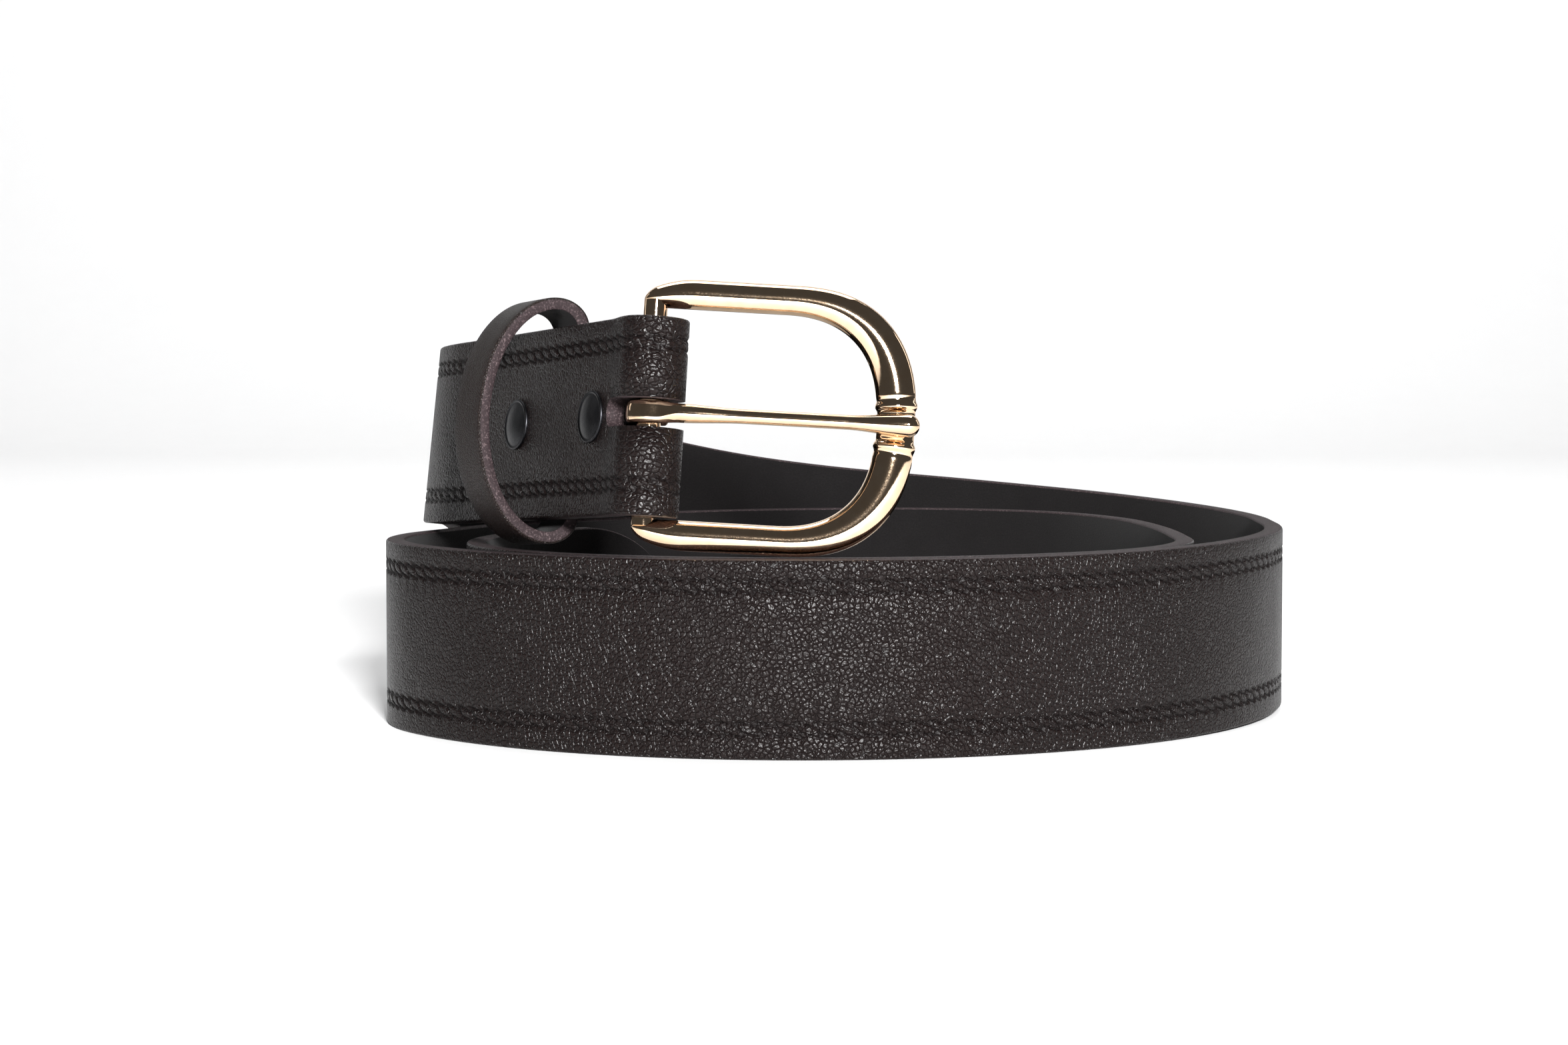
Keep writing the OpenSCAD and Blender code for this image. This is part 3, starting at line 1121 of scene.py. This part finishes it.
    def slot_tool(self) -> bpy.types.Object:
        """The solid that cuts the prong's slot: a bar with one round end.

        Returns:
            The cutter.
        """
        r = self.slot_w / 2
        a = np.radians(np.linspace(90, -90, 25))
        u = np.concatenate([self.slot_u + r * np.cos(a), [-12.0, -12.0]])
        w = self.slot_lift + np.concatenate([r * np.sin(a), [-r, r]])
        v = np.array([-12.0, 12.0])
        ring = np.stack(np.broadcast_arrays(u[None, :], v[:, None], w[None, :]), -1)
        return self.tool("slot_tool", self.path.at_end(ring))

    def hole_tools(self) -> list[bpy.types.Object]:
        """The round solids that punch the holes.

        Returns:
            The cutters.
        """
        tools = []
        for i in range(self.holes):
            d = self.first_hole + i * self.hole_pitch
            at = self.path.coil(np.array([self.path.length - d]))
            along = np.cross(at.out[0], at.up[0])
            a = np.linspace(0, 2 * np.pi, 40, endpoint=False)
            rim = self.hole_d / 2 * (np.cos(a)[:, None] * along + np.sin(a)[:, None] * at.up[0])
            ring = at.centre[0] + np.stack([rim - 3.0 * at.out[0], rim + 3.0 * at.out[0]])
            tools.append(self.tool(f"hole_tool_{i}", ring))
        return tools

    def tool(self, name: str, ring: Array) -> bpy.types.Object:
        """A cutter through two rings, with faces outward.

        Args:
            name: Name of the cutter.
            ring: The two rings.

        Returns:
            The cutter.
        """
        surface = Surface()
        surface.tube(ring)
        obj = surface.build(name, (self.palette.edge,))
        outward(obj)
        return obj


def outward(obj: bpy.types.Object) -> None:
    """Turns a closed mesh's faces outward where its signed volume is below zero.

    Args:
        obj: The object.
    """
    mesh = obj.data
    mesh.calc_loop_triangles()
    tri = np.zeros(len(mesh.loop_triangles) * 3, np.int32)
    mesh.loop_triangles.foreach_get("vertices", tri)
    co = np.zeros(len(mesh.vertices) * 3, np.float32)
    mesh.vertices.foreach_get("co", co)
    p = co.reshape(-1, 3)[tri.reshape(-1, 3)].astype(float)
    volume = np.einsum("ij,ij->i", p[:, 0], np.cross(p[:, 1], p[:, 2])).sum()
    if volume < 0:
        mesh.flip_normals()
    LOG.info("%s: volume %.1f mm3", obj.name, abs(volume) / 6 * MM3_PER_M3)


@dataclass
class Buckle:
    """The horseshoe frame with its bar and the prong's seat.

    Attributes:
        path: The strap's path, whose end carries the buckle.
        palette: Finishes.
        height: Outer height of the frame.
        reach: Distance from the bar to the outer edge of the limb.
        arm_w: Width of the arms.
        limb_w: Width of the limb.
        deep: Depth of the section.
        bar_d: Diameter of the bar.
        arm_x: Where the arms end and the limb's curve starts.
        heel: How far the arms reach past the bar.
        turn: Turn of the frame from the strap, in degrees.
        lift: How far the frame sits above the strap's middle.
        power: Power of the limb's superellipse.
        rings: Rings along the frame.
        around: Points round each ring.
        seat_ridge: Distance of the seat's ridges from its middle.
        seat_half: Half width of the seat's saddle.
        slim_by: How much the arm slims down at the bar.
        slim_over: Distance over which it does.
    """

    path: Path
    palette: Palette
    height: float = 52.0
    reach: float = 50.9
    arm_w: float = 5.8
    limb_w: float = 7.7
    deep: float = 5.2
    bar_d: float = 4.6
    arm_x: float = 25.0
    heel: float = 2.2
    turn: float = -119.0
    lift: float = 0.65
    power: float = 2.5
    rings: int = 420
    around: int = 40
    seat_ridge: float = 3.9
    seat_half: float = 2.7
    slim_by: float = 0.9
    slim_over: float = 8.0

    def place(self, xyz: Array) -> Array:
        """From the frame's axes (x to the limb, -y out of its front, z up the bar).

        Args:
            xyz: Points.

        Returns:
            Points in the row frame.
        """
        a = math.radians(self.turn)
        u = xyz[..., 0] * math.cos(a) - xyz[..., 1] * math.sin(a)
        v = xyz[..., 0] * math.sin(a) + xyz[..., 1] * math.cos(a)
        return self.path.at_end(np.stack([u, v, xyz[..., 2] + self.lift], -1))

    def slim(self, x: Array) -> Array:
        """How much the arm slims down towards the bar, as a square law.

        Args:
            x: Distance from the bar.

        Returns:
            Slimming in millimetres.
        """
        return self.slim_by * np.clip(1 - x / self.slim_over, 0, None) ** 2

    def middle(self) -> Array:
        """Middle line of the frame: straight arms joined by half a superellipse.

        Returns:
            Points by (n, 2) as x and z, evenly spaced.
        """
        mid = (self.height - self.arm_w) / 2
        x = np.linspace(-self.heel, self.arm_x, 200, endpoint=False)
        arm = np.stack([x, mid - self.slim(x)], -1)
        a = np.radians(np.linspace(90, -90, 1601))
        limb = self.reach - self.limb_w / 2 - self.arm_x
        c, s = np.abs(np.cos(a)), np.sin(a)
        bow = np.stack([self.arm_x + limb * c ** (2 / self.power),
                        mid * np.sign(s) * np.abs(s) ** (2 / self.power)], -1)
        line = np.concatenate([arm, bow, arm[::-1] * [1, -1]])
        run = np.concatenate([[0], np.cumsum(np.linalg.norm(np.diff(line, axis=0), axis=1))])
        t = np.linspace(0, run[-1], self.rings)
        ends = 0.5 * (1 - np.cos(np.linspace(0, np.pi, 13)))[:7] * 2.8
        t = np.unique(np.concatenate([ends, t[(t > 1.5) & (t < run[-1] - 1.5)], run[-1] - ends]))
        return np.stack([np.interp(t, run, line[:, 0]), np.interp(t, run, line[:, 1])], -1)

    def build(self) -> bpy.types.Object:
        """Builds the frame and its bar.

        Returns:
            The object.
        """
        line = self.middle()
        x, z = line[:, 0], line[:, 1]
        d = unit(np.gradient(line, axis=0))
        half = self.arm_w / 2 - self.slim(x) + (self.limb_w - self.arm_w) / 2 * ramp(
            x, self.arm_x, self.reach - self.limb_w / 2)
        on_limb = x > self.arm_x
        ridge = np.exp(-((np.abs(z) - self.seat_ridge) / 0.62) ** 4) * 0.42
        saddle = -0.38 * (1 - ramp(np.abs(z), self.seat_half, self.seat_half + 0.8))
        valley = -0.16 * np.exp(-((np.abs(z) - 5.2) / 0.5) ** 2)
        seat = np.where(on_limb, ridge + saddle + valley, 0.0)
        reach = np.clip((0.6 - x) / (self.heel + 0.62), 0, 1)
        cap = np.sqrt(np.maximum(1 - reach**2, 0.0))
        g = np.linspace(0, 2 * np.pi, self.around, endpoint=False)
        cg, sg = np.cos(g), np.sin(g)
        q = (half + seat * 0.5)[:, None] * cap[:, None] * cg
        y = (self.deep / 2 - self.slim(x) / 3 + seat)[:, None] * cap[:, None] * sg
        pts = np.stack([x[:, None] - d[:, 1:2] * q, y, z[:, None] + d[:, 0:1] * q], -1)
        surface = Surface()
        surface.tube(self.place(pts))
        bar_h = self.height - self.arm_w - 3.0
        h = np.linspace(-bar_h / 2, bar_h / 2, 5)
        r = self.bar_d / 2
        bar = np.stack(np.broadcast_arrays(r * cg[None, :], r * sg[None, :], h[:, None]), -1)
        surface.tube(self.place(bar))
        obj = surface.build("buckle_frame_cast", (self.palette.gold,), 60.0)
        outward(obj)
        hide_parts("buckle_frame")
        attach(obj, Body.BUCKLE.value)
        return obj


@dataclass
class Prong:
    """The prong: an eye round the bar, a tapered shaft and a rounded, thicker end.

    Attributes:
        buckle: The buckle it belongs to.
        palette: Finishes.
        eye_r: Radius of the eye's middle.
        eye_t: Half thickness of the eye.
        eye_w: Half width of the eye.
        shaft: Half thickness of the shaft.
        root: Half thickness next to the eye.
        tip: Radius of the thick end.
        bulb: Length of the thickening.
        past: How far the prong reaches past the frame.
        start_x: Where the shaft leaves the eye.
        eye_rings: Rings round the eye.
        shaft_rings: Rings along the shaft, closer towards its end.
        boxy: Power of the eye's rounded-off square section.
    """

    buckle: Buckle
    palette: Palette
    eye_r: float = 3.46
    eye_t: float = 1.06
    eye_w: float = 2.15
    shaft: float = 1.4
    root: float = 1.85
    tip: float = 2.2
    bulb: float = 14.0
    past: float = 0.6
    start_x: float = 0.6
    eye_rings: int = 76
    shaft_rings: int = 170
    boxy: float = 0.62

    def build(self) -> bpy.types.Object:
        """Builds the prong as one tube along its own line.

        Returns:
            The object.
        """
        b = self.buckle
        end = b.reach + self.past
        rest = b.deep / 2 - 0.35 + self.tip + 0.08
        a = np.radians(np.linspace(24, 262, self.eye_rings))
        eye = np.stack([self.eye_r * np.cos(a), self.eye_r * np.sin(a)], -1)
        t = 1 - (1 - np.linspace(0, 1, self.shaft_rings)) ** 1.6
        x = self.start_x + (end - self.start_x) * t
        drop = (rest - self.eye_r) * ease(np.clip(x / (end - self.bulb / 2), 0, 1))
        shaft = np.stack([x, -self.eye_r - drop], -1)
        line = np.concatenate([eye, shaft])
        d = unit(np.gradient(line, axis=0))
        left = end - x
        shaft_r = self.shaft + (self.tip - self.shaft) * ramp(self.bulb - left, 0,
                                                              self.bulb - self.tip)
        nose = np.sqrt(np.maximum(1 - np.clip(1 - left / self.tip, 0, 1) ** 2, 0.0))
        root = (self.root - self.shaft) * (1 - ramp(x, 6, 18))
        grow = ramp(x, 1.4, 6.0)
        thick = (self.eye_t + (shaft_r + root - self.eye_t) * grow) * nose
        wide = (self.eye_w + (shaft_r + root - self.eye_w) * grow) * nose
        start = np.sqrt(1 - (1 - np.clip(np.arange(self.eye_rings) / 5.0, 0, 1)) ** 2)
        start = np.maximum(start, 0.3)
        ht = np.concatenate([self.eye_t * start, thick])
        hw = np.concatenate([self.eye_w * start, wide])
        g = np.linspace(0, 2 * np.pi, 32, endpoint=False)
        flat = np.concatenate([np.full(self.eye_rings, self.boxy),
                               self.boxy + (1 - self.boxy) * grow])[:, None]
        cg = np.sign(np.cos(g)) * np.abs(np.cos(g)) ** flat
        sg = np.sign(np.sin(g)) * np.abs(np.sin(g)) ** flat
        q = ht[:, None] * cg
        pts = np.stack([line[:, :1] - d[:, 1:2] * q, line[:, 1:2] + d[:, :1] * q,
                        hw[:, None] * sg], -1)
        surface = Surface()
        surface.tube(b.place(pts))
        obj = surface.build("prong_cast", (self.palette.gold,), 60.0)
        outward(obj)
        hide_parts("prong")
        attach(obj, Body.PRONG.value)
        return obj


@dataclass
class Keeper:
    """The loose leather loop: a flat back between the layers and a bulging front.

    Attributes:
        path: The strap's path.
        palette: Finishes.
        width: Width along the strap.
        thick: Thickness of its leather.
        height: Outer height.
        out: How far it stands out from the bar's axis.
        side_v: Where the front's bulge starts.
        back_v: Outer face of the back.
        start_u: Where it starts along the strap.
        shift: How far it sits above the strap's middle.
        corner: Height of the round corners at the back.
        round_r: Radius of the leather's edges.
    """

    path: Path
    palette: Palette
    width: float = 11.8
    thick: float = 2.4
    height: float = 49.0
    out: float = 21.7
    side_v: float = 5.5
    back_v: float = -1.3
    start_u: float = 31.2
    shift: float = 0.1
    corner: float = 5.6
    round_r: float = 0.45

    def outline(self, inset: float) -> Array:
        """The loop's closed outline at an inset: half an ellipse and two round corners.

        Args:
            inset: Distance inside the outer face.

        Returns:
            Points by (n, 2) as v and w.
        """
        half = self.height / 2
        back = half - self.corner
        a = np.radians(np.linspace(-90, 90, 120, endpoint=False))
        front = np.stack([self.side_v + (self.out - self.side_v - inset) * np.cos(a),
                          (half - inset) * np.sin(a)], -1)
        b = np.radians(np.linspace(0, 90, 26))
        v = self.side_v - (self.side_v - self.back_v - inset) * np.sin(b)
        w = back - inset / 2 + (half - back - inset / 2) * np.cos(b)
        top = np.stack([v, w], -1)
        flat = np.stack([np.full(30, self.back_v + inset),
                         np.linspace(w[-1], -w[-1], 32)[1:-1]], -1)
        return np.concatenate([front, top, flat, top[::-1][:-1] * [1, -1]])

    def build(self) -> bpy.types.Object:
        """Builds the loop with rounded corners and fibrous cut edges.

        Returns:
            The object.
        """
        e, hw = self.round_r, self.width / 2
        # Section of the leather as (along the strap, inset, material of the next side).
        sec = np.array([
            [-hw, e, 0], [-hw + 0.13, 0.13, 0], [-hw + e, 0, 0], [-hw / 2, -0.02, 0],
            [0, -0.04, 0], [hw / 2, -0.02, 0], [hw - e, 0, 0], [hw - 0.13, 0.13, 0],
            [hw, e, 1], [hw + 0.02, self.thick / 2, 1], [hw, self.thick - 0.15, 1],
            [hw - 0.15, self.thick, 2], [0, self.thick, 2],
            [-hw + 0.15, self.thick, 1], [-hw, self.thick - 0.15, 1],
            [-hw - 0.02, self.thick / 2, 1]])
        lines = np.stack([self.outline(float(np.clip(i, 0, self.thick))) for i in sec[:, 1]], 1)
        run = np.concatenate([[0], np.cumsum(np.linalg.norm(
            np.diff(lines[:, 0], axis=0), axis=1))])
        wave = 0.10 * np.sin(run / 7.0) + 0.06 * np.sin(run / 2.3 + 1.0)
        u = self.start_u + hw + sec[None, :, 0] + np.where(
            np.abs(sec[None, :, 0]) > hw - 1, wave[:, None] * 0.6, 0.0)
        pts = np.stack([u, lines[..., 0], lines[..., 1] + self.shift], -1)
        across = np.cumsum(np.hypot(*np.diff(sec[:, :2], axis=0, prepend=sec[:1, :2]).T))
        uv = np.stack(np.broadcast_arrays(run[:, None] * MM, across[None, :] * MM), -1)
        surface = Surface()
        surface.tube(self.path.at_end(pts), uv, None, sec[:, 2].astype(int), closed=True)
        mats = (self.palette.keeper, self.palette.edge, self.palette.flesh)
        obj = surface.build("keeper_leather", mats, 50.0)
        outward(obj)
        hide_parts("keeper_loop")
        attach(obj, Body.KEEPER.value)
        return obj


@dataclass
class SnapCap:
    """A pressed cap: a shallow dome inside a thin raised rim, on its stem.

    Attributes:
        path: The strap's path.
        palette: Finishes.
        number: Which snap it is.
        at_u: Distance from the bar.
        across: Diameter.
        stem_r: Radius of the stem.
        rim_r: Radius of the rim's roll.
        pole_r: Radius of the small flats at the poles.
    """

    path: Path
    palette: Palette
    number: int
    at_u: float
    across: float = 10.3
    stem_r: float = 1.75
    rim_r: float = 0.32
    pole_r: float = 0.02

    def place(self, p: Array) -> Array:
        """Moves points from the bar to the snap, in the row frame."""
        return self.path.at_end(p + np.array([self.at_u, 0.0, 0.0]))

    def build(self) -> bpy.types.Object:
        """Builds the cap.

        Returns:
            The object.
        """
        r = self.across / 2
        face = self.path.gap / 2 + self.path.thick
        stem = self.path.gap / 2 - 0.7
        a = np.radians(np.linspace(0, 90, 7))
        rim = np.stack([r - self.rim_r + self.rim_r * np.cos(a),
                        face + 0.28 + self.rim_r * np.sin(a)], -1)
        k = np.linspace(0, 1, 18)
        dome = np.stack([(r - 0.62) * (1 - k), face + 0.44 + 0.62 * (1 - (1 - k) ** 2)], -1)
        dome[-1, 0] = self.pole_r
        foot = [[self.pole_r, stem], [1.6, stem], [self.stem_r, stem + 0.15],
                [self.stem_r, face - 0.25], [r - 0.1, face - 0.25]]
        profile = np.concatenate([foot, rim, [[r - 0.5, face + 0.5]], dome])
        surface = Surface()
        surface.tube(turn_profile(profile, 72, self.place))
        obj = surface.build(f"snap_cap_{self.number}_pressed", (self.palette.gunmetal,), 50.0)
        outward(obj)
        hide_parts(f"snap_cap_{self.number}")
        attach(obj, Body.STRAP.value)
        return obj


@dataclass
class HiddenMetal:
    """CAD pieces that are shown as they are, with their finishes."""

    nodes: dict[str, bpy.types.Object]
    palette: Palette

    def dress(self) -> None:
        """Gives each of them its finish."""
        for name, obj in self.nodes.items():
            if name.startswith(("snap_socket", "snap_stud", "snap_post")):
                self.paint(obj, self.palette.gunmetal)
            elif name == "keeper_staple":
                self.paint(obj, self.palette.wire)

    def paint(self, obj: bpy.types.Object, mat: bpy.types.Material) -> None:
        """Puts a finish on a CAD piece.

        Args:
            obj: The piece.
            mat: Its finish.
        """
        if obj.material_slots:
            for slot in obj.material_slots:
                slot.material = mat
        else:
            obj.data.materials.append(mat)


# --------------------------------------------------------------------------- stage


@dataclass
class Studio:
    """Pale floor, soft lights and the camera.

    Attributes:
        eye: Where the camera is, in millimetres.
        pitch: How far it looks down, in degrees.
        lens: Focal length, in millimetres.
    """

    eye: tuple[float, float, float] = (-12.6, -747.3, 83.0)
    pitch: float = 3.33
    lens: float = 79.33

    def floor(self) -> None:
        """Lays the floor, which curves up into a backdrop."""
        x = np.linspace(-2.5, 2.5, 3)
        a = np.radians(np.linspace(0, 90, 13))
        y = np.concatenate([[-2.5, 0.0], 1.4 + 0.8 * np.sin(a), [2.2]])
        z = np.concatenate([[0.0, 0.0], 0.8 - 0.8 * np.cos(a), [2.6]])
        grid = np.stack(np.broadcast_arrays(x[:, None], y[None, :], z[None, :]), -1)
        m, n, _ = grid.shape
        i, j = np.meshgrid(np.arange(m - 1), np.arange(n - 1), indexing="ij")
        a0 = (i * n + j).ravel()
        faces = np.stack([a0, a0 + n, a0 + n + 1, a0 + 1], -1)
        mesh = bpy.data.meshes.new("floor")
        mesh.from_pydata(grid.reshape(-1, 3).tolist(), [], faces.tolist())
        mesh.polygons.foreach_set("use_smooth", np.ones(len(faces), bool))
        mesh.materials.append(Floor().make())
        obj = bpy.data.objects.new("floor", mesh)
        bpy.context.scene.collection.objects.link(obj)

    def light(self, name: str, at: tuple[float, float, float], size: tuple[float, float],
              power: float, aim: Colour = (0.0, -0.03, 0.04)) -> None:
        """Hangs a soft rectangular light that looks at the belt.

        Args:
            name: Name of the light.
            at: Where it is, in metres.
            size: Its width and height, in metres.
            power: Watts.
            aim: What it looks at.
        """
        data = bpy.data.lights.new(name, "AREA")
        data.shape = "RECTANGLE"
        data.size, data.size_y = size
        data.energy = power
        obj = bpy.data.objects.new(name, data)
        obj.location = at
        way = np.subtract(aim, at)
        yaw = math.atan2(way[1], way[0]) - math.pi / 2
        tilt = math.atan2(way[2], math.hypot(way[0], way[1])) + math.pi / 2
        obj.rotation_euler = (tilt, 0.0, yaw)
        bpy.context.scene.collection.objects.link(obj)

    def lights(self) -> None:
        """Hangs the lights and sets the sky."""
        self.light("key", (0.16, -1.30, 0.40), (0.16, 0.14), 60.0)
        self.light("right", (1.30, 0.50, 0.55), (0.25, 0.8), 1.0)
        self.light("left", (-1.35, 0.50, 0.60), (0.25, 0.8), 0.6)
        self.light("top", (0.0, 0.45, 1.35), (1.1, 0.7), 9.0)
        self.light("backdrop", (0.0, 0.75, 1.5), (1.8, 0.3), 20.0, (0.0, 2.2, 0.55))
        world = bpy.data.worlds.new("sky")
        bpy.context.scene.world = world
        bpy.context.scene.view_settings.view_transform = "Standard"
        world.use_nodes = True
        back = world.node_tree.nodes["Background"]
        back.inputs["Color"].default_value = (0.95, 0.97, 1.0, 1.0)
        back.inputs["Strength"].default_value = 0.06

    def camera(self) -> None:
        """Places the camera."""
        data = bpy.data.cameras.new("camera")
        data.lens = self.lens
        data.sensor_width = 36.0
        data.clip_start = 0.01
        data.clip_end = 20.0
        obj = bpy.data.objects.new("camera", data)
        obj.location = [v * MM for v in self.eye]
        obj.rotation_euler = (math.radians(90.0 - self.pitch), 0.0, 0.0)
        bpy.context.scene.collection.objects.link(obj)
        bpy.context.scene.camera = obj


def main() -> None:
    """Builds the belt on its frame, piece by piece."""
    logging.basicConfig(level=logging.INFO, format="%(message)s")
    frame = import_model()
    palette = Palette()
    path = Path()
    LOG.info("strap, %.0f mm from the bar to the tip", path.length)
    Strap(path, palette).build()
    LOG.info("buckle frame")
    buckle = Buckle(path, palette)
    buckle.build()
    LOG.info("prong")
    Prong(buckle, palette).build()
    LOG.info("keeper loop")
    Keeper(path, palette).build()
    LOG.info("snap caps")
    SnapCap(path, palette, 1, 13.8).build()
    SnapCap(path, palette, 2, 48.2).build()
    LOG.info("snap sockets, studs and posts, and the staple")
    HiddenMetal(frame["nodes"], palette).dress()
    studio = Studio()
    studio.floor()
    studio.lights()
    studio.camera()


if __name__ == "__main__":
    main()
